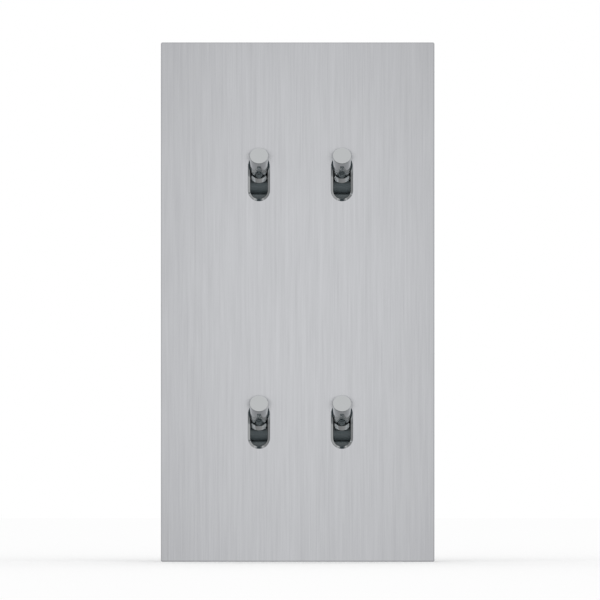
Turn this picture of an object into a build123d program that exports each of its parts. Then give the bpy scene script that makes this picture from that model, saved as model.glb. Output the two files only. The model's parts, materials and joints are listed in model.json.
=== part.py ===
from build123d import *
from math import asin, cos, degrees, radians, sin, tan
import os

# Four-gang toggle switch plate: a brushed steel face plate with four oblong holes, held by
# magnets to a pressed frame that carries four toggle switches. Lengths in millimetres.
# The origin lies on the wall plane, midway between the two wall boxes, on the line that
# runs halfway between the levers. The front faces -Y, and +Z is up.

# Face plate: one folded sheet
PLATE_WIDTH = 78.5
PLATE_HEIGHT = 149.0
PLATE_DEPTH = 4.5
PLATE_SHEET = 1.2
PLATE_EDGE_ROUND = 0.4
PLATE_CORNER_ROUND = 0.5
PLATE_SIDE_SHIFT = -0.8

# Layout of the four levers
BOX_PITCH = 71.0
LEVER_PITCH = 23.8

# Chrome ring in each hole of the plate
RING_WIDTH = 6.3
RING_HEIGHT = 13.1
RING_WALL = 0.6
RING_CHAMFER_WIDTH = 0.56
RING_CHAMFER_DEPTH = 0.51
RING_FLANGE = 1.0
RING_FLANGE_THICKNESS = 0.8
RING_FIT = 0.03

# Pressed frame that the wall boxes hold, inside the plate's folded edges
FRAME_SIDE_GAP = 2.25
FRAME_END_GAP = 2.8
FRAME_SHEET = 1.2
FRAME_CORNER_ROUND = 4.0
FRAME_EDGE_RISE = 3.0
BOX_SCREW_SPACING = 60.0
BOX_SLOT_LENGTH = 7.0
BOX_SLOT_WIDTH = 4.2

# Magnets between the plate and the frame
MAGNET_RADIUS = 4.0
MAGNET_EDGE_GAP = 2.8
MAGNET_RISE = 22.0

# Lever, turned in one piece, with a coned foot that has two flats
PIVOT_DEPTH = 5.5
LEVER_TILT = 30.0
LEVER_LENGTH = 12.9
HEAD_RADIUS = 2.68
HEAD_EDGE_ROUND = 0.15
HEAD_DOME = 0.15
STEM_RADIUS = 2.3
FOOT_RADIUS = 3.0
FOOT_START = 1.9
FOOT_RIM = 0.6
FOOT_ROUND = 0.15
FOOT_CONE = 60.0
SPIGOT_RADIUS = 1.0
SPIGOT_LENGTH = 0.55

# Tumbler that carries the lever and turns on the pivot pin
TUMBLER_WIDTH = 5.0
DRUM_RADIUS = 4.9
BARREL_RADIUS = 2.0
BARREL_LENGTH = 6.0
PIN_RADIUS = 0.8
PIN_END_GAP = 0.2
RUNNING_FIT = 0.05
TIGHT_FIT = 0.02

# Plunger and spring in the tumbler's barrel
PLUNGER_RADIUS = 1.15
PLUNGER_LENGTH = 3.6
SPRING_START = 1.6
SPRING_LENGTH = 3.0
SPRING_WIRE = 0.2
SPRING_RADIUS = 0.9
SPRING_TURNS = 5

# Rocking contact: a bent strip that tips on its ridge
ROCKER_TILT = 10.0
ROCKER_REACH = 9.0
ROCKER_TROUGH = 4.2
ROCKER_TROUGH_SLOPE = 20.0
ROCKER_THICKNESS = 0.8
ROCKER_WIDTH = 3.6
ROCKER_RIDGE = 0.6
ROCKER_DROP = 1.25
RIVET_RADIUS = 0.9
RIVET_REACH = 7.6

# Fixed contacts and terminals
CONTACT_GAP = 0.15
CONTACT_RADIUS = 1.4
CONTACT_HEIGHT = 0.7
STRIP_THICKNESS = 0.8
STRIP_GAP = 1.5
STRIP_WIDTH = 4.4
CRADLE_HEIGHT = 3.2
CRADLE_SETBACK = 0.1
BLOCK_WIDTH = 5.6
BLOCK_HEIGHT = 5.6
BLOCK_SIDE = 5.0
BLOCK_END_GAP = 0.3
WIRE_HOLE = 3.0
WIRE_HOLE_FROM_BACK = 4.4

# Terminal screws
SCREW_RADIUS = 1.5
SCREW_HEAD_RADIUS = 2.3
SCREW_HEAD_HEIGHT = 1.4
SCREW_SLOT_WIDTH = 0.6
SCREW_SLOT_DEPTH = 0.7
SCREW_WINDOW = 5.2

# Earth terminals on the back of the frame
EARTH_RISE = 22.5
EARTH_BLOCK = 6.0
EARTH_DEPTH = 8.0

# Moulded case and cover of each switch
CASE_GAP = 1.4
CASE_HEIGHT = 32.0
CASE_BACK = 25.0
CASE_WALL = 1.6
CASE_EDGE_ROUND = 0.6
ENTRY_SIZE = 3.6
COVER_THICKNESS = 2.0
COVER_LIP = 1.2
COVER_LIP_DEPTH = 1.2
COVER_LIP_FIT = 0.1
NOSE_WIDTH = 8.8
NOSE_HEIGHT = 14.4
NOSE_GAP = 0.2
WINDOW_FIT = 0.1
MOUTH_WIDTH = 5.2
MOUTH_DRUM_GAP = 0.2
MOUTH_STEM_GAP = 0.15
CHEEK_HEIGHT = 6.0
CHEEK_DEPTH = 4.0
KEEPER_DEPTH = 5.0
KEEPER_INNER = 3.0

# Screws that hold each switch to the frame
FIXING_RADIUS = 1.4
FIXING_RISE = 12.2
FIXING_DEPTH = 9.0
FIXING_HEAD_RADIUS = 2.6
FIXING_HEAD_HEIGHT = 1.1
FIXING_CLEARANCE = 0.2
POST_RADIUS = 2.2
POST_END = 11.6

# Places that follow from the sizes above
plate_front = -PLATE_DEPTH
plate_inner = plate_front + PLATE_SHEET
frame_front = -FRAME_SHEET
pivot_y = plate_front + PIVOT_DEPTH
nose_front = plate_inner + RING_FLANGE_THICKNESS + NOSE_GAP
frame_width = PLATE_WIDTH - 2 * (PLATE_SHEET + abs(PLATE_SIDE_SHIFT) + FRAME_SIDE_GAP)
frame_height = PLATE_HEIGHT - 2 * (PLATE_SHEET + FRAME_END_GAP)
magnet_side = frame_width / 2 - FRAME_SHEET - MAGNET_EDGE_GAP - MAGNET_RADIUS
case_width = LEVER_PITCH - CASE_GAP
case_inner_back = CASE_BACK - CASE_WALL
block_rise = CASE_HEIGHT / 2 - CASE_WALL - BLOCK_END_GAP - BLOCK_HEIGHT / 2
rocker_y = pivot_y + SPRING_START + SPRING_LENGTH + PLUNGER_LENGTH + ROCKER_DROP
arm_lift = ROCKER_TROUGH * tan(radians(ROCKER_TROUGH_SLOPE))
rivet_back = RIVET_REACH * sin(radians(ROCKER_TILT)) - arm_lift * cos(radians(ROCKER_TILT))
rivet_rise = RIVET_REACH * cos(radians(ROCKER_TILT)) + arm_lift * sin(radians(ROCKER_TILT))
contact_front = rocker_y + rivet_back + RIVET_RADIUS + CONTACT_GAP
strip_front = contact_front + CONTACT_HEIGHT
strip_back = strip_front + STRIP_THICKNESS
strip_outer = BLOCK_SIDE + BLOCK_WIDTH / 2
strip_end = block_rise + BLOCK_HEIGHT / 2
wire_hole_y = case_inner_back - WIRE_HOLE_FROM_BACK
foot_cone_r = FOOT_RADIUS - FOOT_ROUND * (1 - sin(radians(FOOT_CONE)))
foot_cone_a = FOOT_START + FOOT_RIM + FOOT_ROUND * cos(radians(FOOT_CONE))
stem_start = foot_cone_a + (foot_cone_r - STEM_RADIUS) * tan(radians(FOOT_CONE))

switches = {
    "upper_left": (-LEVER_PITCH / 2, BOX_PITCH / 2),
    "upper_right": (LEVER_PITCH / 2, BOX_PITCH / 2),
    "lower_left": (-LEVER_PITCH / 2, -BOX_PITCH / 2),
    "lower_right": (LEVER_PITCH / 2, -BOX_PITCH / 2),
}
fixing_points = [(x, z + side * FIXING_RISE) for x, z in switches.values() for side in (1, -1)]
box_points = [(x * BOX_SCREW_SPACING / 2, z * BOX_PITCH / 2) for x in (-1, 1) for z in (-1, 1)]
earth_points = {"upper": (0, BOX_PITCH / 2 + EARTH_RISE), "lower": (0, -BOX_PITCH / 2 - EARTH_RISE)}


def facing(y, at=(0, 0)):
    """Sketch plane at depth y that faces the viewer, centred on a point in X and Z."""
    return Plane(origin=(at[0], y, at[1]), x_dir=(1, 0, 0), z_dir=(0, -1, 0))


def tipped(y, at, tilt):
    """Plane across X whose own Y axis points forward and up by the tilt; its X axis points up."""
    t = radians(tilt)
    return Plane(origin=(at[0], y, at[1]), x_dir=(0, sin(t), cos(t)), z_dir=(1, 0, 0))


def finish(builder, name):
    """Label a finished piece and write it."""
    builder.part.label = name
    export_step(builder.part, f"parts/{name}.step")


def build_face_plate():
    with BuildPart() as face_plate:
        with BuildSketch(facing(0, (PLATE_SIDE_SHIFT, 0))):
            Rectangle(PLATE_WIDTH, PLATE_HEIGHT)
        extrude(amount=PLATE_DEPTH)
        corners = face_plate.edges().filter_by(Axis.Y)
        fillet(corners, PLATE_CORNER_ROUND)
        front = face_plate.faces().sort_by(Axis.Y)[0]
        fillet(front.edges(), PLATE_EDGE_ROUND)
        with BuildSketch(facing(0, (PLATE_SIDE_SHIFT, 0))):
            Rectangle(PLATE_WIDTH - 2 * PLATE_SHEET, PLATE_HEIGHT - 2 * PLATE_SHEET)
        extrude(amount=PLATE_DEPTH - PLATE_SHEET, mode=Mode.SUBTRACT)
        with BuildSketch(facing(plate_inner)):
            with Locations(*switches.values()):
                SlotOverall(RING_HEIGHT + 2 * RING_FIT, RING_WIDTH + 2 * RING_FIT, rotation=90)
        extrude(amount=PLATE_SHEET, mode=Mode.SUBTRACT)
    finish(face_plate, "face_plate")


def build_mounting_frame():
    with BuildPart() as mounting_frame:
        with BuildSketch(facing(0)):
            RectangleRounded(frame_width, frame_height, FRAME_CORNER_ROUND)
        extrude(amount=FRAME_EDGE_RISE)
        with BuildSketch(facing(frame_front)):
            Rectangle(frame_width - 2 * FRAME_SHEET, frame_height)
        extrude(amount=FRAME_EDGE_RISE, mode=Mode.SUBTRACT)
        with BuildSketch(facing(0)):
            with Locations(*switches.values()):
                Rectangle(NOSE_WIDTH + 2 * WINDOW_FIT, NOSE_HEIGHT + 2 * WINDOW_FIT)
            with Locations(*box_points):
                SlotOverall(BOX_SLOT_LENGTH, BOX_SLOT_WIDTH)
            with Locations(*fixing_points):
                Circle(FIXING_RADIUS + FIXING_CLEARANCE)
        extrude(amount=FRAME_SHEET, mode=Mode.SUBTRACT)
    finish(mounting_frame, "mounting_frame")


def build_magnets():
    rows = [side * BOX_PITCH / 2 + rise * MAGNET_RISE for side in (-1, 1) for rise in (-1, 1)]
    points = [(x * magnet_side, z) for x in (-1, 1) for z in rows]
    with BuildPart() as plate_magnets:
        with BuildSketch(facing(frame_front)):
            with Locations(*points):
                Circle(MAGNET_RADIUS)
        extrude(amount=frame_front - plate_inner)
    finish(plate_magnets, "plate_magnets")


def build_bezel(name, at):
    with BuildPart() as bezel:
        with BuildSketch(facing(plate_inner, at)):
            SlotOverall(RING_HEIGHT, RING_WIDTH, rotation=90)
        extrude(amount=PLATE_SHEET)
        with BuildSketch(facing(plate_inner, at)):
            SlotOverall(RING_HEIGHT + 2 * RING_FLANGE, RING_WIDTH + 2 * RING_FLANGE, rotation=90)
        extrude(amount=-RING_FLANGE_THICKNESS)
        with BuildSketch(facing(plate_front, at)):
            SlotOverall(RING_HEIGHT - 2 * RING_WALL, RING_WIDTH - 2 * RING_WALL, rotation=90)
        extrude(amount=-(PLATE_SHEET + RING_FLANGE_THICKNESS), mode=Mode.SUBTRACT)
        front = bezel.faces().sort_by(Axis.Y)[0]
        chamfer(front.inner_wires()[0].edges(), RING_CHAMFER_WIDTH, RING_CHAMFER_DEPTH, reference=front)
    finish(bezel, f"{name}_bezel")


def build_lever(name, at):
    plane = tipped(pivot_y, at, LEVER_TILT)
    rim_top = FOOT_START + FOOT_RIM
    shoulder = LEVER_LENGTH - HEAD_EDGE_ROUND
    face_r = HEAD_RADIUS - HEAD_EDGE_ROUND
    dome_r = (face_r**2 + HEAD_DOME**2) / (2 * HEAD_DOME)
    dome_half = degrees(asin(face_r / dome_r))
    with BuildPart() as lever:
        with BuildSketch(plane):
            with BuildLine():
                Line((0, FOOT_START - SPIGOT_LENGTH), (SPIGOT_RADIUS, FOOT_START - SPIGOT_LENGTH))
                Line((SPIGOT_RADIUS, FOOT_START - SPIGOT_LENGTH), (SPIGOT_RADIUS, FOOT_START))
                Line((SPIGOT_RADIUS, FOOT_START), (FOOT_RADIUS, FOOT_START))
                Line((FOOT_RADIUS, FOOT_START), (FOOT_RADIUS, rim_top))
                CenterArc((FOOT_RADIUS - FOOT_ROUND, rim_top), FOOT_ROUND, 0, 90 - FOOT_CONE)
                Line((foot_cone_r, foot_cone_a), (STEM_RADIUS, stem_start))
                Line((STEM_RADIUS, stem_start), (HEAD_RADIUS, shoulder))
                CenterArc((face_r, shoulder), HEAD_EDGE_ROUND, 0, 90)
                CenterArc((0, LEVER_LENGTH + HEAD_DOME - dome_r), dome_r, 90 - dome_half, dome_half)
                Line((0, LEVER_LENGTH + HEAD_DOME), (0, FOOT_START - SPIGOT_LENGTH))
            make_face()
        revolve(axis=Axis(plane.origin, plane.y_dir))
        for side in (-1, 1):
            with BuildSketch(plane.offset(side * TUMBLER_WIDTH / 2)):
                with Locations((0, FOOT_START)):
                    Rectangle(2 * FOOT_RADIUS, stem_start - FOOT_START, align=(Align.CENTER, Align.MIN))
            extrude(amount=side * FOOT_RADIUS, mode=Mode.SUBTRACT)
    finish(lever, f"{name}_lever")


def build_tumbler(name, at):
    plane = tipped(pivot_y, at, LEVER_TILT)
    with BuildPart() as tumbler:
        with BuildSketch(plane):
            Circle(DRUM_RADIUS)
            with Locations((0, FOOT_START + FOOT_RIM)):
                Rectangle(2 * DRUM_RADIUS, DRUM_RADIUS, align=(Align.CENTER, Align.MIN), mode=Mode.SUBTRACT)
        extrude(amount=TUMBLER_WIDTH / 2, both=True)
        with BuildSketch(plane):
            Rectangle(BARREL_RADIUS, BARREL_LENGTH, align=(Align.MIN, Align.MAX))
        revolve(axis=Axis(plane.origin, plane.y_dir))
        with BuildSketch(plane):
            with Locations((0, FOOT_START)):
                Rectangle(2 * (FOOT_RADIUS + TIGHT_FIT), DRUM_RADIUS, align=(Align.CENTER, Align.MIN))
            with Locations((0, 0)):
                Circle(PIN_RADIUS + RUNNING_FIT)
        extrude(amount=TUMBLER_WIDTH, both=True, mode=Mode.SUBTRACT)
        with BuildSketch(plane):
            with Locations((0, FOOT_START)):
                Rectangle(
                    SPIGOT_RADIUS + TIGHT_FIT, SPIGOT_LENGTH + TIGHT_FIT, align=(Align.MIN, Align.MAX)
                )
            with Locations((0, -SPRING_START)):
                Rectangle(PLUNGER_RADIUS + RUNNING_FIT, BARREL_LENGTH, align=(Align.MIN, Align.MAX))
        revolve(axis=Axis(plane.origin, plane.y_dir), mode=Mode.SUBTRACT)
    finish(tumbler, f"{name}_tumbler")


def build_pivot_pin(name, at):
    with BuildPart() as pivot_pin:
        with BuildSketch(tipped(pivot_y, at, 0)):
            Circle(PIN_RADIUS)
        extrude(amount=NOSE_WIDTH / 2 - PIN_END_GAP, both=True)
    finish(pivot_pin, f"{name}_pivot_pin")


def build_plunger(name, at):
    plane = tipped(pivot_y, at, LEVER_TILT)
    seat = -(SPRING_START + SPRING_LENGTH)
    tip = seat - PLUNGER_LENGTH
    with BuildPart() as plunger:
        with BuildSketch(plane):
            with BuildLine():
                Line((0, tip), (0, seat))
                Line((0, seat), (PLUNGER_RADIUS, seat))
                Line((PLUNGER_RADIUS, seat), (PLUNGER_RADIUS, tip + PLUNGER_RADIUS))
                CenterArc((0, tip + PLUNGER_RADIUS), PLUNGER_RADIUS, 0, -90)
            make_face()
        revolve(axis=Axis(plane.origin, plane.y_dir))
    finish(plunger, f"{name}_plunger")


def build_spring(name, at):
    plane = tipped(pivot_y, at, LEVER_TILT)
    start = plane.origin - plane.y_dir * (SPRING_START + SPRING_LENGTH - SPRING_WIRE)
    height = SPRING_LENGTH - 2 * SPRING_WIRE
    with BuildPart() as spring:
        with BuildLine():
            coil = Helix(height / SPRING_TURNS, height, SPRING_RADIUS, center=start, direction=plane.y_dir)
        with BuildSketch(Plane(origin=coil @ 0, z_dir=coil % 0)):
            Circle(SPRING_WIRE)
        sweep(path=coil, is_frenet=True)
    finish(spring, f"{name}_plunger_spring")


def build_rocker(name, at):
    plane = tipped(rocker_y, at, -ROCKER_TILT)
    top = ROCKER_THICKNESS
    with BuildPart() as rocker:
        with BuildSketch(plane):
            Polygon(
                (-ROCKER_REACH, arm_lift),
                (-ROCKER_TROUGH, arm_lift),
                (0, 0),
                (ROCKER_TROUGH, arm_lift),
                (ROCKER_REACH, arm_lift),
                (ROCKER_REACH, arm_lift + top),
                (ROCKER_TROUGH, arm_lift + top),
                (0, top),
                (-ROCKER_TROUGH, arm_lift + top),
                (-ROCKER_REACH, arm_lift + top),
                align=None,
            )
            Circle(ROCKER_RIDGE)
        extrude(amount=ROCKER_WIDTH / 2, both=True)
        with Locations(*[plane.location * Location((side * RIVET_REACH, arm_lift, 0)) for side in (-1, 1)]):
            Sphere(RIVET_RADIUS)
    finish(rocker, f"{name}_rocker_contact")


def terminal_cut(block_at):
    """The wire hole and the screw's hole of one terminal block, as a solid to cut away."""
    with BuildPart() as cut:
        with BuildSketch(Plane(origin=(block_at[0], wire_hole_y, block_at[1]), z_dir=(0, 0, 1))):
            Rectangle(WIRE_HOLE, WIRE_HOLE)
        extrude(amount=BLOCK_HEIGHT, both=True)
        with BuildSketch(facing(case_inner_back, block_at)):
            Circle(SCREW_RADIUS + TIGHT_FIT)
        extrude(amount=WIRE_HOLE_FROM_BACK)
    return cut.part


def build_fixed_contact(name, at, side, label):
    block_at = (at[0] - BLOCK_SIDE, at[1] + side * block_rise)
    strip_low = block_rise - BLOCK_HEIGHT / 2 - STRIP_WIDTH / 2
    inner = ROCKER_WIDTH / 2
    cut = terminal_cut(block_at)
    with BuildPart() as fixed_contact:
        with BuildSketch(facing(strip_front, (at[0], at[1]))):
            with Locations(((inner - strip_outer) / 2, side * (strip_low + strip_end) / 2)):
                Rectangle(inner + strip_outer, strip_end - strip_low)
        extrude(amount=-STRIP_THICKNESS)
        with BuildSketch(facing(strip_back, block_at)):
            Rectangle(BLOCK_WIDTH, BLOCK_HEIGHT)
        extrude(amount=strip_back - case_inner_back)
        with BuildSketch(facing(strip_front, (at[0], at[1] + side * rivet_rise))):
            Circle(CONTACT_RADIUS)
        extrude(amount=CONTACT_HEIGHT)
        add(cut, mode=Mode.SUBTRACT)
    finish(fixed_contact, f"{name}_{label}_contact")


def build_common_terminal(name, at):
    block_at = (at[0] + BLOCK_SIDE, at[1] + block_rise)
    inner = ROCKER_WIDTH / 2 + STRIP_GAP
    cradle_front = rocker_y + CRADLE_SETBACK
    cut = terminal_cut(block_at)
    with BuildPart() as common_terminal:
        with BuildSketch(facing(strip_front, at)):
            with Locations(((inner + strip_outer) / 2, (strip_end - CRADLE_HEIGHT / 2) / 2)):
                Rectangle(strip_outer - inner, strip_end + CRADLE_HEIGHT / 2)
            with Locations(((strip_outer - ROCKER_WIDTH / 2) / 2, 0)):
                Rectangle(strip_outer + ROCKER_WIDTH / 2, CRADLE_HEIGHT)
        extrude(amount=-STRIP_THICKNESS)
        with BuildSketch(facing(strip_front, at)):
            Rectangle(ROCKER_WIDTH, CRADLE_HEIGHT)
        extrude(amount=strip_front - cradle_front)
        with BuildSketch(facing(strip_back, block_at)):
            Rectangle(BLOCK_WIDTH, BLOCK_HEIGHT)
        extrude(amount=strip_back - case_inner_back)
        with BuildSketch(tipped(rocker_y, at, 0)):
            Circle(ROCKER_RIDGE + RUNNING_FIT)
        extrude(amount=ROCKER_WIDTH, both=True, mode=Mode.SUBTRACT)
        add(cut, mode=Mode.SUBTRACT)
    finish(common_terminal, f"{name}_common_terminal")


def build_cover(name, at):
    drum_room = DRUM_RADIUS + MOUTH_DRUM_GAP
    mouth_reach = pivot_y - nose_front
    stem_room = (STEM_RADIUS + MOUTH_STEM_GAP) / cos(radians(LEVER_TILT))
    mouth_half = stem_room + mouth_reach * tan(radians(LEVER_TILT))
    with BuildPart() as cover:
        with BuildSketch(facing(0, at)):
            Rectangle(case_width, CASE_HEIGHT)
        extrude(amount=-COVER_THICKNESS)
        fillet(cover.edges().filter_by(Axis.Y), CASE_EDGE_ROUND)
        lip_width = case_width - 2 * (CASE_WALL + COVER_LIP_FIT)
        lip_height = CASE_HEIGHT - 2 * (CASE_WALL + COVER_LIP_FIT) - 4 * POST_RADIUS
        with BuildSketch(facing(COVER_THICKNESS, at)):
            Rectangle(lip_width, lip_height)
            Rectangle(lip_width - 2 * COVER_LIP, lip_height - 2 * COVER_LIP, mode=Mode.SUBTRACT)
        extrude(amount=-COVER_LIP_DEPTH)
        with BuildSketch(facing(0, at)):
            Rectangle(NOSE_WIDTH, NOSE_HEIGHT)
        extrude(amount=-nose_front)
        with BuildSketch(facing(COVER_THICKNESS, at)):
            Rectangle(NOSE_WIDTH, CHEEK_HEIGHT)
        extrude(amount=-(CHEEK_DEPTH - COVER_THICKNESS))
        with BuildSketch(tipped(pivot_y, at, 0)):
            Circle(drum_room)
            Rectangle(2 * drum_room, CHEEK_DEPTH, align=(Align.CENTER, Align.MAX))
            Polygon((-stem_room, 0), (stem_room, 0), (mouth_half, mouth_reach), (-mouth_half, mouth_reach),
                    align=None)
        extrude(amount=MOUTH_WIDTH / 2, both=True, mode=Mode.SUBTRACT)
        notch = PIN_RADIUS + TIGHT_FIT
        with BuildSketch(tipped(pivot_y, at, 0)):
            Circle(notch)
            Rectangle(2 * notch, CHEEK_DEPTH, align=(Align.CENTER, Align.MAX))
        extrude(amount=NOSE_WIDTH / 2, both=True, mode=Mode.SUBTRACT)
        with BuildSketch(facing(0, at)):
            with Locations((0, FIXING_RISE), (0, -FIXING_RISE)):
                Circle(FIXING_RADIUS + FIXING_CLEARANCE)
        extrude(amount=-COVER_THICKNESS, mode=Mode.SUBTRACT)
        with BuildSketch(facing(COVER_THICKNESS, at)):
            keeper_gap = 2 * (PIN_RADIUS + COVER_LIP_FIT)
            Rectangle(case_width, keeper_gap)
            Rectangle(NOSE_WIDTH, keeper_gap, mode=Mode.SUBTRACT)
        extrude(amount=-COVER_LIP_DEPTH, mode=Mode.SUBTRACT)
    finish(cover, f"{name}_switch_cover")


def build_case(name, at):
    inner_width = case_width - 2 * CASE_WALL
    inner_height = CASE_HEIGHT - 2 * CASE_WALL
    terminals = [(-BLOCK_SIDE, block_rise), (BLOCK_SIDE, block_rise), (-BLOCK_SIDE, -block_rise)]
    keeper = 2 * (PIN_RADIUS - COVER_LIP_FIT)
    keeper_front = pivot_y + PIN_RADIUS + RUNNING_FIT
    with BuildPart() as case:
        with BuildSketch(facing(COVER_THICKNESS, at)):
            Rectangle(case_width, CASE_HEIGHT)
        extrude(amount=COVER_THICKNESS - CASE_BACK)
        fillet(case.edges().filter_by(Axis.Y), CASE_EDGE_ROUND)
        fillet(case.faces().sort_by(Axis.Y)[-1].edges(), CASE_EDGE_ROUND)
        with BuildSketch(facing(COVER_THICKNESS, at)):
            Rectangle(inner_width, inner_height)
        extrude(amount=COVER_THICKNESS - case_inner_back, mode=Mode.SUBTRACT)
        with BuildSketch(facing(COVER_THICKNESS, at)):
            for side in (-1, 1):
                with Locations((0, side * FIXING_RISE)):
                    Circle(POST_RADIUS)
                with Locations((0, side * (FIXING_RISE + inner_height / 2) / 2)):
                    Rectangle(2 * POST_RADIUS, inner_height / 2 - FIXING_RISE)
        extrude(amount=COVER_THICKNESS - POST_END)
        with BuildSketch(facing(COVER_THICKNESS, at)):
            with Locations((0, FIXING_RISE), (0, -FIXING_RISE)):
                Circle(FIXING_RADIUS + TIGHT_FIT)
        extrude(amount=-(FIXING_DEPTH - COVER_THICKNESS), mode=Mode.SUBTRACT)
        for side in (-1, 1):
            outer_x = side * (inner_width + NOSE_WIDTH + 2 * COVER_LIP_FIT) / 4
            outer_length = (inner_width - NOSE_WIDTH) / 2 - COVER_LIP_FIT
            with BuildSketch(facing(COVER_THICKNESS + COVER_LIP_FIT, at)):
                with Locations((outer_x, 0)):
                    Rectangle(outer_length, keeper)
            extrude(amount=-(KEEPER_DEPTH - COVER_THICKNESS - COVER_LIP_FIT))
            inner_x = side * (KEEPER_INNER + NOSE_WIDTH / 2 - COVER_LIP_FIT) / 2
            with BuildSketch(facing(keeper_front, at)):
                with Locations((inner_x, 0)):
                    Rectangle(NOSE_WIDTH / 2 - COVER_LIP_FIT - KEEPER_INNER, keeper)
            extrude(amount=-(KEEPER_DEPTH - keeper_front))
            bridge_x = side * NOSE_WIDTH / 2
            with BuildSketch(facing(CHEEK_DEPTH + COVER_LIP_FIT, at)):
                with Locations((bridge_x, 0)):
                    Rectangle(4 * COVER_LIP_FIT, keeper)
            extrude(amount=-(KEEPER_DEPTH - CHEEK_DEPTH - COVER_LIP_FIT))
        with BuildSketch(facing(case_inner_back, at)):
            with Locations(*terminals):
                Rectangle(SCREW_WINDOW, SCREW_WINDOW)
        extrude(amount=-CASE_WALL, mode=Mode.SUBTRACT)
        for x, z in terminals:
            wall = at[1] + (CASE_HEIGHT / 2 if z > 0 else -CASE_HEIGHT / 2)
            with BuildSketch(Plane(origin=(at[0] + x, wire_hole_y, wall), z_dir=(0, 0, 1))):
                Rectangle(ENTRY_SIZE, ENTRY_SIZE)
            extrude(amount=CASE_WALL, both=True, mode=Mode.SUBTRACT)
    finish(case, f"{name}_switch_case")


def build_earth_terminal(name, at):
    with BuildPart() as earth_terminal:
        with BuildSketch(facing(0, at)):
            Rectangle(EARTH_BLOCK, EARTH_BLOCK)
        extrude(amount=-EARTH_DEPTH)
        with BuildSketch(Plane(origin=(at[0], EARTH_DEPTH - WIRE_HOLE_FROM_BACK, at[1]), z_dir=(1, 0, 0))):
            Rectangle(WIRE_HOLE, WIRE_HOLE)
        extrude(amount=EARTH_BLOCK, both=True, mode=Mode.SUBTRACT)
        with BuildSketch(facing(EARTH_DEPTH, at)):
            Circle(SCREW_RADIUS + TIGHT_FIT)
        extrude(amount=WIRE_HOLE_FROM_BACK, mode=Mode.SUBTRACT)
    finish(earth_terminal, f"{name}_earth_terminal")


def build_terminal_screws():
    reach = WIRE_HOLE_FROM_BACK - WIRE_HOLE / 2
    seats = [(case_inner_back, (x + side * BLOCK_SIDE, z + rise * block_rise))
             for x, z in switches.values() for side, rise in ((-1, 1), (1, 1), (-1, -1))]
    seats += [(EARTH_DEPTH, at) for at in earth_points.values()]
    with BuildPart() as terminal_screws:
        for seat, at in seats:
            with BuildSketch(facing(seat, at)):
                Circle(SCREW_RADIUS)
            extrude(amount=reach)
            with BuildSketch(facing(seat, at)):
                Circle(SCREW_HEAD_RADIUS)
            extrude(amount=-SCREW_HEAD_HEIGHT)
            with BuildSketch(facing(seat + SCREW_HEAD_HEIGHT, at)):
                Rectangle(2 * SCREW_HEAD_RADIUS, SCREW_SLOT_WIDTH)
            extrude(amount=SCREW_SLOT_DEPTH, mode=Mode.SUBTRACT)
    finish(terminal_screws, "terminal_screws")


def build_fixing_screws():
    with BuildPart() as fixing_screws:
        with BuildSketch(facing(FIXING_DEPTH)):
            with Locations(*fixing_points):
                Circle(FIXING_RADIUS)
        extrude(amount=FIXING_DEPTH - frame_front)
        with BuildSketch(facing(frame_front)):
            with Locations(*fixing_points):
                Circle(FIXING_HEAD_RADIUS)
        extrude(amount=FIXING_HEAD_HEIGHT)
        with BuildSketch(facing(frame_front - FIXING_HEAD_HEIGHT)):
            with Locations(*fixing_points):
                Rectangle(2 * FIXING_HEAD_RADIUS, SCREW_SLOT_WIDTH)
        extrude(amount=-SCREW_SLOT_DEPTH, mode=Mode.SUBTRACT)
    finish(fixing_screws, "fixing_screws")


os.makedirs("parts", exist_ok=True)
build_face_plate()
build_mounting_frame()
build_magnets()
build_terminal_screws()
build_fixing_screws()
for earth_name, earth_at in earth_points.items():
    build_earth_terminal(earth_name, earth_at)
for switch_name, switch_at in switches.items():
    build_bezel(switch_name, switch_at)
    build_lever(switch_name, switch_at)
    build_tumbler(switch_name, switch_at)
    build_pivot_pin(switch_name, switch_at)
    build_plunger(switch_name, switch_at)
    build_spring(switch_name, switch_at)
    build_rocker(switch_name, switch_at)
    build_common_terminal(switch_name, switch_at)
    build_fixed_contact(switch_name, switch_at, 1, "upper")
    build_fixed_contact(switch_name, switch_at, -1, "lower")
    build_cover(switch_name, switch_at)
    build_case(switch_name, switch_at)
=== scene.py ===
import json
import math

import bmesh
import bpy
from mathutils import Matrix, Vector


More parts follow.
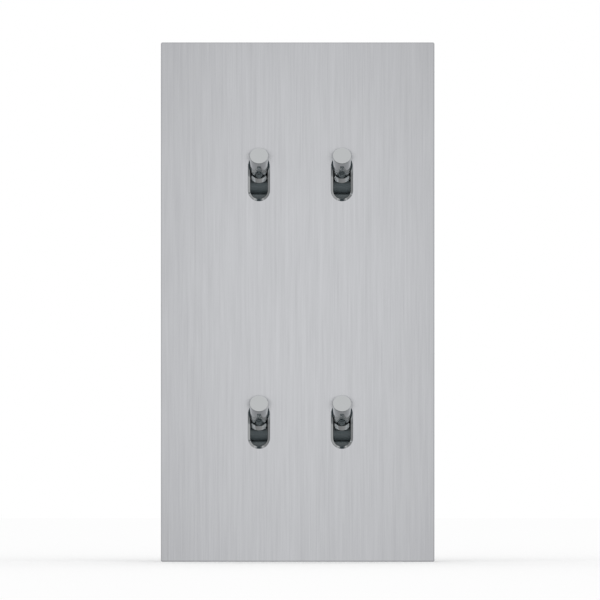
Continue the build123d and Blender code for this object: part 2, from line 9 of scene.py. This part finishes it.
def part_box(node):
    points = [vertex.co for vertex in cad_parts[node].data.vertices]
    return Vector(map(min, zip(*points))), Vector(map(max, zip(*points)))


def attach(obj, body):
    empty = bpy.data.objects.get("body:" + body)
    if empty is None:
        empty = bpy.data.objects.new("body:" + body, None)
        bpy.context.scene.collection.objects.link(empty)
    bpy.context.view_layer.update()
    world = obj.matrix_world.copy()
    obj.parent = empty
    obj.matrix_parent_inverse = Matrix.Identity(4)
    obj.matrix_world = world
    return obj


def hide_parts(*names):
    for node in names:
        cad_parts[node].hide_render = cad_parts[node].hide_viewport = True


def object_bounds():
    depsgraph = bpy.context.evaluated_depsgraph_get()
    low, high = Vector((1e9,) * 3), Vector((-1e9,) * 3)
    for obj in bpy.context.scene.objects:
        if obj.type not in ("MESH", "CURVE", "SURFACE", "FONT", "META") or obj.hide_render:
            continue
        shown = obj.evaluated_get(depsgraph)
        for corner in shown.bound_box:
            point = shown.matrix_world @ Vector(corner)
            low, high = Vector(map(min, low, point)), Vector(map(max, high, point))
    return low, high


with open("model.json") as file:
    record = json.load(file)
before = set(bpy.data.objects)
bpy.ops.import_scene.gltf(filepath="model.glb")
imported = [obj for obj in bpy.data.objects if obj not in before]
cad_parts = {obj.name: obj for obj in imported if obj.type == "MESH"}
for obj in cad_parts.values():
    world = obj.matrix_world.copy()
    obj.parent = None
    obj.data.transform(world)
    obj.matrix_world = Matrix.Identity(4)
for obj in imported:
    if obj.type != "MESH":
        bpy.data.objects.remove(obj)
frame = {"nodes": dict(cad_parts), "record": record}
cad_low, cad_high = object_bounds()
nodes = frame["nodes"]
slot_of = {row["node"]: row["material_slot"] for row in frame["record"]["subparts"]}

MM = 0.001
SWITCHES = ("upper_left", "upper_right", "lower_left", "lower_right")

# The photograph: its size in pixels, its scale in pixels to a millimetre, and where the
# middle of the four levers lies in it
PHOTO_SIZE = 600
PHOTO_SCALE = 3.487
LEVERS_X_PX = 300.45
LEVERS_Y_PX = 302.1
CAMERA_DISTANCE = 6.0
SENSOR = 36.0

# Studio light. The camera sees white; polished metal, brushed metal and everything else each
# meet their own soft surround, as under shaped softboxes. Angles are from the camera's side.
BACKGROUND = 1.0
POLISHED_AHEAD = (0.050, 0.062, 0.068)
POLISHED_AHEAD_ANGLES = (39.0, 51.0)
POLISHED_ABOVE = 0.29
POLISHED_BESIDE = 0.31
POLISHED_BELOW = 0.24
POLISHED_RIGHT = 0.28
SOFTBOX = (0.60, 0.60, 0.60)
SOFTBOX_RISE = 60.0
SOFTBOX_ANGLES = (27.0, 41.0)
BRUSHED_AHEAD = (1.0, 1.0, 1.0)
BRUSHED_AHEAD_ANGLES = (14.0, 34.0)
BRUSHED_BEHIND = (1.1, 1.1, 1.1)
BRUSHED_BEHIND_ANGLES = (70.0, 95.0)
BRUSHED_ABOVE = 0.90
BRUSHED_BESIDE = 0.75
BRUSHED_BELOW = 0.46
FILL_ABOVE = 1.05
FILL_BESIDE = 0.95
FILL_BELOW = 0.85
# Height on the unit sphere, up or down, past which a surround no longer changes
SURROUND_REACH = 0.87
FLOOR_HALF_SIZE = 1.2
FLOOR_COLOUR = (0.96, 0.96, 0.96)
FLOOR_ROUGHNESS = 0.9

# Sizes of the levers and the rings, in millimetres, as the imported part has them
LEVER_TILT = 30.0
LEVER_LENGTH = 12.9
HEAD_RADIUS = 2.68
HEAD_EDGE_ROUND = 0.15
HEAD_DOME = 0.15
STEM_RADIUS = 2.3
FOOT_RADIUS = 3.0
FOOT_START = 1.9
FOOT_RIM = 0.6
FOOT_ROUND = 0.15
FOOT_CONE = 60.0
FOOT_FLATS = 5.0
PLATE_FRONT = -4.5
RING_WALL = 0.6
RING_CHAMFER_WIDTH = 0.56
RING_CHAMFER_DEPTH = 0.51
RING_DEPTH = 2.0
RING_FLANGE = 1.0
RING_FLANGE_THICKNESS = 0.8

# How finely the levers and rings are divided, the angle between two faces above which their
# edge is sharp, and how close two points are, in metres, when they are one
LEVER_SIDES = 160
ROUND_STEPS = 14
OBLONG_STEPS = 40
LEVER_SHARP_EDGE = 24.0
RING_SHARP_EDGE = 30.0
SAME_POINT = 1e-8

# Moulded ribs on the sides of the switch cases, in millimetres
RIB_COUNT = 9
RIB_PITCH = 3.0
RIB_START = 4.5
RIB_LENGTH = 18.5
RIB_BASE = 1.1
RIB_TOP = 0.8
RIB_RISE = 0.35

# The plate's drawn grain as streaks: the size that each takes, how far it is stretched from
# that size, its detail and its share
GRAIN_STREAKS = (
    ("Fine", 1.0, 3.0, 0.45),
    ("Fine", 0.36, 2.0, 0.35),
    ("Coarse", 1.0, 2.0, 0.20),
)

# Depth of the bumps and radius of the softened edges, in metres
PLATE_BUMP = 0.00002
METAL_BUMP = 0.00002
METAL_EDGE = 0.00015
PLASTIC_BUMP = 0.00004
PLASTIC_EDGE = 0.0002
BORE_ROUGHNESS = 0.6


def box_mm(name):
    """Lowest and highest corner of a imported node, in millimetres."""
    low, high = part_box(name)
    return Vector(low) / MM, Vector(high) / MM


def pin_centre(switch):
    """Centre of the lever's pivot, in millimetres: the middle of the pin that it turns on."""
    low, high = box_mm(f"{switch}_pivot_pin")
    return (low + high) / 2


def add_node(tree, kind, **sockets):
    """A new node with values on its sockets; a name has _ where the socket has a space."""
    made = tree.nodes.new(kind)
    for name, value in sockets.items():
        made.inputs[name.replace("_", " ")].default_value = value
    return made


def new_material(name, colour, metallic, roughness):
    """A material with its own Principled shader; gives the material, its tree and the shader."""
    made = bpy.data.materials.new(name)
    made.use_nodes = True
    shader = made.node_tree.nodes["Principled BSDF"]
    shader.inputs["Base Color"].default_value = (*colour, 1.0)
    shader.inputs["Metallic"].default_value = metallic
    shader.inputs["Roughness"].default_value = roughness
    return made, made.node_tree, shader


def new_group(name, inputs, outputs):
    """An empty shader node group; inputs and outputs are (name, socket type, default)."""
    group = bpy.data.node_groups.new(name, "ShaderNodeTree")
    for label, kind, default in inputs:
        socket = group.interface.new_socket(label, in_out="INPUT", socket_type=kind)
        if default is not None:
            socket.default_value = default
    for label, kind in outputs:
        group.interface.new_socket(label, in_out="OUTPUT", socket_type=kind)
    return group, group.nodes.new("NodeGroupInput"), group.nodes.new("NodeGroupOutput")


def math_node(tree, operation, first, second):
    """A Math node on two sockets or numbers; gives its output."""
    made = tree.nodes.new("ShaderNodeMath")
    made.operation = operation
    for socket, value in zip(made.inputs, (first, second)):
        if hasattr(value, "is_output"):
            tree.links.new(value, socket)
        else:
            socket.default_value = value
    return made.outputs[0]


def grain_group():
    """Drawn grain: three sizes of streak along Z, from Object coordinates."""
    group, enter, leave = new_group(
        "drawn_grain",
        [
            ("Fine", "NodeSocketFloat", 2600.0),
            ("Coarse", "NodeSocketFloat", 420.0),
            ("Length", "NodeSocketFloat", 30.0),
            ("Shade", "NodeSocketFloat", 0.05),
        ],
        [("Factor", "NodeSocketFloat"), ("Height", "NodeSocketFloat")],
    )
    place = group.nodes.new("ShaderNodeTexCoord")
    mixed = None
    for label, stretch, detail, share in GRAIN_STREAKS:
        across = math_node(group, "MULTIPLY", enter.outputs[label], stretch)
        combine = group.nodes.new("ShaderNodeCombineXYZ")
        group.links.new(across, combine.inputs["X"])
        group.links.new(across, combine.inputs["Y"])
        along = math_node(group, "MULTIPLY", enter.outputs["Length"], stretch)
        group.links.new(along, combine.inputs["Z"])
        scale = group.nodes.new("ShaderNodeVectorMath")
        scale.operation = "MULTIPLY"
        group.links.new(place.outputs["Object"], scale.inputs[0])
        group.links.new(combine.outputs[0], scale.inputs[1])
        noise = add_node(group, "ShaderNodeTexNoise", Scale=1.0, Detail=detail, Roughness=0.55)
        group.links.new(scale.outputs[0], noise.inputs["Vector"])
        layer = math_node(group, "MULTIPLY", noise.outputs["Fac"], share)
        mixed = layer if mixed is None else math_node(group, "ADD", mixed, layer)
    group.links.new(mixed, leave.inputs["Height"])
    centred = math_node(group, "SUBTRACT", mixed, 0.5)
    spread = math_node(group, "MULTIPLY", centred, enter.outputs["Shade"])
    group.links.new(math_node(group, "ADD", spread, 1.0), leave.inputs["Factor"])
    return group


def speckle_group():
    """Fine moulded or cast skin: an even noise for bump, and a slow one for shade."""
    group, enter, leave = new_group(
        "fine_skin",
        [("Scale", "NodeSocketFloat", 2500.0), ("Shade", "NodeSocketFloat", 0.1)],
        [("Factor", "NodeSocketFloat"), ("Height", "NodeSocketFloat")],
    )
    place = group.nodes.new("ShaderNodeTexCoord")
    fine = add_node(group, "ShaderNodeTexNoise", Detail=2.0, Roughness=0.5)
    group.links.new(place.outputs["Object"], fine.inputs["Vector"])
    group.links.new(enter.outputs["Scale"], fine.inputs["Scale"])
    slow = add_node(group, "ShaderNodeTexNoise", Scale=90.0, Detail=3.0, Roughness=0.6)
    group.links.new(place.outputs["Object"], slow.inputs["Vector"])
    group.links.new(fine.outputs["Fac"], leave.inputs["Height"])
    centred = math_node(group, "SUBTRACT", slow.outputs["Fac"], 0.5)
    spread = math_node(group, "MULTIPLY", centred, enter.outputs["Shade"])
    group.links.new(math_node(group, "ADD", spread, 1.0), leave.inputs["Factor"])
    return group


GRAIN = grain_group()
SKIN = speckle_group()


def place_group(tree, group, **sockets):
    """A shader node group placed in a material, with its own values."""
    made = tree.nodes.new("ShaderNodeGroup")
    made.node_tree = group
    for name, value in sockets.items():
        made.inputs[name].default_value = value
    return made


def shade(tree, shader, colour, factor):
    """Base colour times a factor that changes over the surface."""
    mix = tree.nodes.new("ShaderNodeVectorMath")
    mix.operation = "SCALE"
    mix.inputs[0].default_value = colour
    tree.links.new(factor, mix.inputs["Scale"])
    tree.links.new(mix.outputs[0], shader.inputs["Base Color"])


def bump(tree, shader, height, strength, distance, edge=0.0):
    """Bump from a height; an edge radius, in metres, rounds the corners in the shading too."""
    made = add_node(tree, "ShaderNodeBump", Strength=strength, Distance=distance)
    tree.links.new(height, made.inputs["Height"])
    if edge > 0.0:
        soft = add_node(tree, "ShaderNodeBevel", Radius=edge)
        tree.links.new(soft.outputs["Normal"], made.inputs["Normal"])
    tree.links.new(made.outputs["Normal"], shader.inputs["Normal"])


def vary_roughness(tree, shader, source, low, high):
    """Roughness from low to high as the middle range of a noise goes."""
    made = add_node(tree, "ShaderNodeMapRange", From_Min=0.35, From_Max=0.65)
    made.inputs["To Min"].default_value = low
    made.inputs["To Max"].default_value = high
    tree.links.new(source, made.inputs["Value"])
    tree.links.new(made.outputs[0], shader.inputs["Roughness"])


def painted_falloff_group():
    """Painted shade: the sheet's colour made a little darker towards its edges, from Object
    coordinates, standing in for light that falls off across the plate.
    """
    group, enter, leave = new_group(
        "painted_edge_shade",
        [
            ("Half Width", "NodeSocketFloat", 0.04),
            ("Half Height", "NodeSocketFloat", 0.075),
            ("Depth", "NodeSocketFloat", 0.09),
        ],
        [("Factor", "NodeSocketFloat")],
    )
    place = group.nodes.new("ShaderNodeTexCoord")
    split = group.nodes.new("ShaderNodeSeparateXYZ")
    group.links.new(place.outputs["Object"], split.inputs[0])
    across = math_node(group, "DIVIDE", split.outputs["X"], enter.outputs["Half Width"])
    along = math_node(group, "DIVIDE", split.outputs["Z"], enter.outputs["Half Height"])
    across = math_node(group, "MULTIPLY", across, across)
    along = math_node(group, "MULTIPLY", along, along)
    reach = math_node(group, "ADD", across, along)
    fall = math_node(group, "MULTIPLY", reach, enter.outputs["Depth"])
    group.links.new(math_node(group, "SUBTRACT", 1.0, fall), leave.inputs["Factor"])
    return group


def brushed_plate():
    """Stainless steel with a vertical drawn grain, its colour darkened towards the edges by
    painted shade.
    """
    colour = (0.558, 0.564, 0.584)
    made, tree, shader = new_material("brushed_plate", colour, 1.0, 0.20)
    shader.inputs["Anisotropic"].default_value = 0.8
    grain = place_group(tree, GRAIN, Fine=2600.0, Coarse=420.0, Length=60.0, Shade=0.37)
    # The grain is the steel's own; the second factor is painted shade that darkens the sheet
    # towards its edges in place of lamp falloff.
    painted_falloff = place_group(tree, painted_falloff_group())
    grain_and_painted_shade = math_node(tree, "MULTIPLY", grain.outputs["Factor"], painted_falloff.outputs["Factor"])
    shade(tree, shader, colour, grain_and_painted_shade)
    bump(tree, shader, grain.outputs["Height"], 0.15, PLATE_BUMP)
    return made


def polished_chrome(name, roughness):
    """Chrome: a mirror at roughness 0, satin above it."""
    colour = (0.82, 0.84, 0.85)
    made, tree, shader = new_material(name, colour, 1.0, roughness)
    skin = place_group(tree, SKIN, Scale=1400.0, Shade=0.04)
    shade(tree, shader, colour, skin.outputs["Factor"])
    return made


def plated_steel(name, colour, roughness):
    """Plated or drawn metal with a faint uneven skin."""
    made, tree, shader = new_material(name, colour, 1.0, roughness)
    skin = place_group(tree, SKIN, Scale=700.0, Shade=0.14)
    shade(tree, shader, colour, skin.outputs["Factor"])
    vary_roughness(tree, shader, skin.outputs["Height"], roughness * 0.8, roughness * 1.25)
    bump(tree, shader, skin.outputs["Height"], 0.05, METAL_BUMP, edge=METAL_EDGE)
    return made


def moulded(name, colour, roughness, scale, strength):
    """Moulded plastic with a fine grained skin."""
    made, tree, shader = new_material(name, colour, 0.0, roughness)
    skin = place_group(tree, SKIN, Scale=scale, Shade=0.12)
    shade(tree, shader, colour, skin.outputs["Factor"])
    bump(tree, shader, skin.outputs["Height"], strength, PLASTIC_BUMP, edge=PLASTIC_EDGE)
    return made


# The finishes by material slot, and one more for the bores of the rings
finish_of = {
    "plate_steel": brushed_plate(),
    "ring_chrome": polished_chrome("ring_chrome", 0.0),
    "ring_bore": polished_chrome("ring_bore", BORE_ROUGHNESS),
    "lever_chrome": polished_chrome("lever_chrome", 0.0),
    "frame_steel": plated_steel("zinc_plate", (0.56, 0.57, 0.57), 0.38),
    "magnet": plated_steel("nickel_plate", (0.70, 0.69, 0.66), 0.25),
    "screw_steel": plated_steel("screw_zinc", (0.68, 0.68, 0.66), 0.30),
    "pin_steel": plated_steel("drawn_steel", (0.60, 0.60, 0.61), 0.25),
    "terminal_brass": plated_steel("terminal_brass", (0.78, 0.62, 0.34), 0.30),
    "contact_copper": plated_steel("contact_copper", (0.80, 0.55, 0.38), 0.30),
    "tumbler_plastic": moulded("tumbler_plastic", (0.064, 0.080, 0.086), 0.35, 2600.0, 0.10),
    "cover_plastic": moulded("cover_plastic", (0.072, 0.088, 0.094), 0.40, 2600.0, 0.20),
    "case_plastic": moulded("case_plastic", (0.16, 0.17, 0.18), 0.50, 2200.0, 0.35),
}
for name, piece in nodes.items():
    if not piece.material_slots:
        piece.data.materials.append(None)
    for holder in piece.material_slots:
        holder.material = finish_of[slot_of[name]]


def shown_mesh(name, mesh, *finishes):
    """A new object in the scene with its finishes, the main one first."""
    piece = bpy.data.objects.new(name, mesh)
    bpy.context.scene.collection.objects.link(piece)
    for finish in finishes:
        mesh.materials.append(finish)
    return piece


def turned_profile():
    """Half section of the lever, foot to tip, as (radius, distance from the pivot)."""
    points = [(0.0, FOOT_START), (FOOT_RADIUS, FOOT_START)]
    rim = FOOT_START + FOOT_RIM
    centre = FOOT_RADIUS - FOOT_ROUND
    for k in range(ROUND_STEPS + 1):
        turn = math.radians((90 - FOOT_CONE) * k / ROUND_STEPS)
        points.append((centre + FOOT_ROUND * math.cos(turn), rim + FOOT_ROUND * math.sin(turn)))
    cone_radius, cone_start = points[-1]
    cone_length = (cone_radius - STEM_RADIUS) * math.tan(math.radians(FOOT_CONE))
    points.append((STEM_RADIUS, cone_start + cone_length))
    shoulder = LEVER_LENGTH - HEAD_EDGE_ROUND
    face = HEAD_RADIUS - HEAD_EDGE_ROUND
    for k in range(ROUND_STEPS + 1):
        turn = math.pi / 2 * k / ROUND_STEPS
        across = HEAD_EDGE_ROUND * math.cos(turn)
        along = HEAD_EDGE_ROUND * math.sin(turn)
        points.append((face + across, shoulder + along))
    for k in range(1, ROUND_STEPS + 1):
        share = 1 - k / ROUND_STEPS
        points.append((face * share, LEVER_LENGTH + HEAD_DOME * (1 - share * share)))
    return points


def turned_lever(switch):
    """The polished lever: a turned form with two flats on its foot, tilted up at its pivot."""
    mesh = bpy.data.meshes.new(f"{switch}_lever_turned")
    shape = bmesh.new()
    rings = []
    stem_start = FOOT_START + FOOT_RIM + FOOT_ROUND
    for radius, height in turned_profile():
        if radius * MM < SAME_POINT:
            rings.append([shape.verts.new((0, 0, height))])
            continue
        ring = []
        for k in range(LEVER_SIDES):
            turn = 2 * math.pi * (k + 0.5) / LEVER_SIDES
            x = radius * math.cos(turn)
            if height < stem_start + FOOT_RIM:
                x = max(-FOOT_FLATS / 2, min(FOOT_FLATS / 2, x))
            ring.append(shape.verts.new((x, radius * math.sin(turn), height)))
        rings.append(ring)
    for low, high in zip(rings, rings[1:]):
        for k in range(LEVER_SIDES):
            after = (k + 1) % LEVER_SIDES
            if len(low) == 1:
                shape.faces.new((low[0], high[after], high[k]))
            elif len(high) == 1:
                shape.faces.new((low[k], low[after], high[0]))
            else:
                shape.faces.new((low[k], low[after], high[after], high[k]))
    for face in shape.faces:
        face.smooth = True
    tilt = math.radians(LEVER_TILT)
    along = Vector((0, -math.cos(tilt), math.sin(tilt)))
    up = Vector((0, math.sin(tilt), math.cos(tilt)))
    turn = Matrix((Vector((1, 0, 0)), up, along)).transposed().to_4x4()
    shape.transform(Matrix.Scale(MM, 4) @ Matrix.Translation(pin_centre(switch)) @ turn)
    bmesh.ops.remove_doubles(shape, verts=shape.verts, dist=SAME_POINT)
    bmesh.ops.recalc_face_normals(shape, faces=shape.faces)
    shape.to_mesh(mesh)
    shape.free()
    mesh.set_sharp_from_angle(angle=math.radians(LEVER_SHARP_EDGE))
    piece = shown_mesh(f"{switch}_lever_turned", mesh, finish_of["lever_chrome"])
    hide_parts(f"{switch}_lever")
    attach(piece, f"{switch}_toggle")
    return piece


def oblong(width, height, depth, centre):
    """Points round an oblong with round ends, in X and Z, at one depth."""
    radius = width / 2
    half = height / 2 - radius
    points = []
    for end, rise in ((0, half), (1, -half)):
        for k in range(OBLONG_STEPS + 1):
            turn = math.pi * (end + k / OBLONG_STEPS)
            x = centre.x + radius * math.cos(turn)
            z = centre.z + rise + radius * math.sin(turn)
            points.append((x, depth, z))
    return points


def ring_bezel(switch):
    """The chrome ring: its chamfered front, its satin bore and its flange behind the plate."""
    low, high = box_mm(f"{switch}_bezel")
    centre = (low + high) / 2
    wide = high.x - low.x - 2 * RING_FLANGE
    tall = high.z - low.z - 2 * RING_FLANGE
    back = PLATE_FRONT + RING_DEPTH
    shelf = back - RING_FLANGE_THICKNESS
    flange = 2 * RING_FLANGE
    inner = 2 * RING_WALL
    land = 2 * (RING_WALL - RING_CHAMFER_WIDTH)
    outlines = [
        oblong(wide - inner, tall - inner, back, centre),
        oblong(wide + flange, tall + flange, back, centre),
        oblong(wide + flange, tall + flange, shelf, centre),
        oblong(wide, tall, shelf, centre),
        oblong(wide, tall, PLATE_FRONT, centre),
        oblong(wide - land, tall - land, PLATE_FRONT, centre),
        oblong(wide - inner, tall - inner, PLATE_FRONT + RING_CHAMFER_DEPTH, centre),
    ]
    outlines.append(outlines[0])
    shape = bmesh.new()
    rings = [[shape.verts.new(Vector(p) * MM) for p in outline] for outline in outlines]
    for first, second in zip(rings, rings[1:]):
        count = len(first)
        for k in range(count):
            after = (k + 1) % count
            made = shape.faces.new((first[k], first[after], second[after], second[k]))
            made.smooth = True
            made.material_index = 1 if second is rings[-1] else 0
    bmesh.ops.remove_doubles(shape, verts=shape.verts, dist=SAME_POINT)
    bmesh.ops.recalc_face_normals(shape, faces=shape.faces)
    mesh = bpy.data.meshes.new(f"{switch}_bezel_ring")
    shape.to_mesh(mesh)
    shape.free()
    mesh.set_sharp_from_angle(angle=math.radians(RING_SHARP_EDGE))
    finishes = (finish_of["ring_chrome"], finish_of["ring_bore"])
    piece = shown_mesh(f"{switch}_bezel_ring", mesh, *finishes)
    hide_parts(f"{switch}_bezel")
    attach(piece, "housing")
    return piece


def rib_row_tree():
    """A row of drafted ribs: each runs along Z, the row runs along X, and they rise along Y."""
    tree = bpy.data.node_groups.new("rib_row", "GeometryNodeTree")
    tree.interface.new_socket("Geometry", in_out="INPUT", socket_type="NodeSocketGeometry")
    tree.interface.new_socket("Count", in_out="INPUT", socket_type="NodeSocketInt")
    for label in ("Pitch", "Length", "Base Width", "Top Width", "Rise"):
        tree.interface.new_socket(label, in_out="INPUT", socket_type="NodeSocketFloat")
    tree.interface.new_socket("Material", in_out="INPUT", socket_type="NodeSocketMaterial")
    tree.interface.new_socket("Geometry", in_out="OUTPUT", socket_type="NodeSocketGeometry")
    enter = tree.nodes.new("NodeGroupInput")
    leave = tree.nodes.new("NodeGroupOutput")
    links = tree.links
    top = tree.nodes.new("ShaderNodeCombineXYZ")
    links.new(enter.outputs["Length"], top.inputs["Z"])
    spine = tree.nodes.new("GeometryNodeCurvePrimitiveLine")
    links.new(top.outputs[0], spine.inputs["End"])
    profile = tree.nodes.new("GeometryNodeCurvePrimitiveQuadrilateral")
    profile.mode = "TRAPEZOID"
    profile.inputs["Offset"].default_value = 0.0
    links.new(enter.outputs["Rise"], profile.inputs["Height"])
    links.new(enter.outputs["Base Width"], profile.inputs["Bottom Width"])
    links.new(enter.outputs["Top Width"], profile.inputs["Top Width"])
    sweep = tree.nodes.new("GeometryNodeCurveToMesh")
    sweep.inputs["Fill Caps"].default_value = True
    links.new(spine.outputs[0], sweep.inputs["Curve"])
    links.new(profile.outputs[0], sweep.inputs["Profile Curve"])
    step = tree.nodes.new("ShaderNodeCombineXYZ")
    links.new(enter.outputs["Pitch"], step.inputs["X"])
    row = tree.nodes.new("GeometryNodeMeshLine")
    links.new(enter.outputs["Count"], row.inputs["Count"])
    links.new(step.outputs[0], row.inputs["Offset"])
    spread = tree.nodes.new("GeometryNodeInstanceOnPoints")
    links.new(row.outputs[0], spread.inputs["Points"])
    links.new(sweep.outputs[0], spread.inputs["Instance"])
    real = tree.nodes.new("GeometryNodeRealizeInstances")
    links.new(spread.outputs[0], real.inputs[0])
    coat = tree.nodes.new("GeometryNodeSetMaterial")
    links.new(real.outputs[0], coat.inputs["Geometry"])
    links.new(enter.outputs["Material"], coat.inputs["Material"])
    links.new(coat.outputs[0], leave.inputs[0])
    return tree


def grown_mesh(tree, values):
    """The plain mesh that a Geometry Nodes tree makes with these inputs."""
    host = bpy.data.objects.new(tree.name, bpy.data.meshes.new(tree.name))
    bpy.context.scene.collection.objects.link(host)
    modifier = host.modifiers.new(tree.name, "NODES")
    modifier.node_group = tree
    for item in tree.interface.items_tree:
        if item.in_out == "INPUT" and item.name in values:
            modifier[item.identifier] = values[item.name]
    shaped = host.evaluated_get(bpy.context.evaluated_depsgraph_get())
    mesh = bpy.data.meshes.new_from_object(shaped)
    host.modifiers.remove(modifier)
    bpy.data.objects.remove(host)
    return mesh


def case_ribs():
    """Moulded ribs down both sides of the four switch cases."""
    row = grown_mesh(rib_row_tree(), {
        "Count": RIB_COUNT,
        "Pitch": RIB_PITCH * MM,
        "Length": RIB_LENGTH * MM,
        "Base Width": RIB_BASE * MM,
        "Top Width": RIB_TOP * MM,
        "Rise": 2 * RIB_RISE * MM,
        "Material": finish_of["case_plastic"],
    })
    shape = bmesh.new()
    for switch in SWITCHES:
        low, high = box_mm(f"{switch}_switch_case")
        middle = (low + high) / 2
        for side, face in ((-1, low.x), (1, high.x)):
            turn = Matrix(((0, side, 0), (0, 0, 1), (side, 0, 0)))
            start = Vector((face, RIB_START, middle.z - side * (RIB_COUNT - 1) * RIB_PITCH / 2))
            placed = row.copy()
            placed.transform(Matrix.Translation(start * MM) @ turn.to_4x4())
            shape.from_mesh(placed)
            bpy.data.meshes.remove(placed)
    bmesh.ops.recalc_face_normals(shape, faces=shape.faces)
    mesh = bpy.data.meshes.new("case_ribs")
    shape.to_mesh(mesh)
    shape.free()
    bpy.data.meshes.remove(row)
    piece = shown_mesh("case_ribs", mesh, finish_of["case_plastic"])
    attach(piece, "housing")


for switch in SWITCHES:
    turned_lever(switch)
    ring_bezel(switch)
case_ribs()


def studio_floor():
    """A pale floor that the plate's lower edge stands on."""
    mesh = bpy.data.meshes.new("studio_floor")
    sides = ((-1, -1), (1, -1), (1, 1), (-1, 1))
    corners = [(x * FLOOR_HALF_SIZE, y * FLOOR_HALF_SIZE, cad_low.z) for x, y in sides]
    mesh.from_pydata(corners, [], [(0, 1, 2, 3)])
    finish, _, shader = new_material("studio_floor", FLOOR_COLOUR, 0.0, FLOOR_ROUGHNESS)
    shader.inputs["Specular IOR Level"].default_value = 0.0
    floor = shown_mesh("studio_floor", mesh, finish)
    floor.visible_glossy = False


def surround(tree, split, below, beside, above):
    """Brightness by height: below, beside and above the object."""
    made = tree.nodes.new("ShaderNodeFloatCurve")
    points = made.mapping.curves[0].points
    points[0].location = (0.0, below)
    points[-1].location = (1.0, above)
    points.new(0.5, beside)
    for point in points:
        point.handle_type = "VECTOR"
    made.mapping.clip_max_y = 2.0
    made.mapping.update()
    height = add_node(
        tree, "ShaderNodeMapRange", From_Min=-SURROUND_REACH, From_Max=SURROUND_REACH
    )
    tree.links.new(split.outputs["Z"], height.inputs["Value"])
    tree.links.new(height.outputs[0], made.inputs["Value"])
    return made.outputs[0]


def mix_colours(tree, factor, first, second):
    """Mix of two colours; each is a socket or a colour."""
    made = tree.nodes.new("ShaderNodeMix")
    made.data_type = "RGBA"
    tree.links.new(factor, made.inputs[0])
    for socket, value in ((made.inputs[6], first), (made.inputs[7], second)):
        if hasattr(value, "is_output"):
            tree.links.new(value, socket)
        else:
            socket.default_value = (*value, 1.0)
    return made.outputs[2]


def lobe(tree, place, rise, angles):
    """1 within the first angle of a direction and 0 beyond the second, smooth between.

    The direction is the camera's side, -Y, turned up by the rise. Angles are in degrees.
    """
    toward = math.radians(rise)
    dot = tree.nodes.new("ShaderNodeVectorMath")
    dot.operation = "DOT_PRODUCT"
    tree.links.new(place.outputs["Generated"], dot.inputs[0])
    dot.inputs[1].default_value = (0, -math.cos(toward), math.sin(toward))
    made = add_node(tree, "ShaderNodeMapRange")
    made.interpolation_type = "SMOOTHSTEP"
    made.inputs["From Min"].default_value = math.cos(math.radians(angles[1]))
    made.inputs["From Max"].default_value = math.cos(math.radians(angles[0]))
    tree.links.new(dot.outputs["Value"], made.inputs["Value"])
    return made.outputs[0]


def studio_world():
    """White for the camera, and a soft surround for each kind of finish."""
    world = bpy.data.worlds.new("studio")
    bpy.context.scene.world = world
    world.use_nodes = True
    world.cycles.sampling_method = "NONE"
    tree = world.node_tree
    tree.nodes.clear()
    place = tree.nodes.new("ShaderNodeTexCoord")
    split = tree.nodes.new("ShaderNodeSeparateXYZ")
    tree.links.new(place.outputs["Generated"], split.inputs[0])
    polished = surround(tree, split, POLISHED_BELOW, POLISHED_BESIDE, POLISHED_ABOVE)
    lean = math_node(tree, "MULTIPLY_ADD", split.outputs["X"], POLISHED_RIGHT)
    lean.node.inputs[2].default_value = 1.0
    polished = math_node(tree, "MULTIPLY", polished, lean)
    ahead = lobe(tree, place, 0.0, POLISHED_AHEAD_ANGLES)
    polished = mix_colours(tree, ahead, polished, POLISHED_AHEAD)
    softbox = lobe(tree, place, SOFTBOX_RISE, SOFTBOX_ANGLES)
    polished = mix_colours(tree, softbox, polished, SOFTBOX)
    brushed = surround(tree, split, BRUSHED_BELOW, BRUSHED_BESIDE, BRUSHED_ABOVE)
    ahead = lobe(tree, place, 0.0, BRUSHED_AHEAD_ANGLES)
    brushed = mix_colours(tree, ahead, brushed, BRUSHED_AHEAD)
    behind = lobe(tree, place, 180.0, BRUSHED_BEHIND_ANGLES)
    brushed = mix_colours(tree, behind, brushed, BRUSHED_BEHIND)
    fill = surround(tree, split, FILL_BELOW, FILL_BESIDE, FILL_ABOVE)
    path = tree.nodes.new("ShaderNodeLightPath")
    metal = mix_colours(tree, path.outputs["Is Singular Ray"], brushed, polished)
    unseen = mix_colours(tree, path.outputs["Is Glossy Ray"], fill, metal)
    seen = mix_colours(tree, path.outputs["Is Camera Ray"], unseen, (BACKGROUND,) * 3)
    light = tree.nodes.new("ShaderNodeBackground")
    tree.links.new(seen, light.inputs["Color"])
    leave = tree.nodes.new("ShaderNodeOutputWorld")
    tree.links.new(light.outputs[0], leave.inputs["Surface"])


def studio_camera():
    """A long lens level with the plate, framed as the photograph is."""
    view_width = PHOTO_SIZE / PHOTO_SCALE * MM
    lens = bpy.data.cameras.new("camera")
    lens.sensor_width = SENSOR
    lens.lens = SENSOR * CAMERA_DISTANCE / view_width
    lens.clip_end = 2 * CAMERA_DISTANCE
    camera = bpy.data.objects.new("camera", lens)
    bpy.context.scene.collection.objects.link(camera)
    x = (PHOTO_SIZE / 2 - LEVERS_X_PX) / PHOTO_SCALE * MM
    z = (LEVERS_Y_PX - PHOTO_SIZE / 2) / PHOTO_SCALE * MM
    camera.location = (x, PLATE_FRONT * MM - CAMERA_DISTANCE, z)
    camera.rotation_euler = (math.pi / 2, 0, 0)
    bpy.context.scene.camera = camera


studio_floor()
studio_world()
studio_camera()
bpy.context.scene.view_settings.view_transform = "Standard"
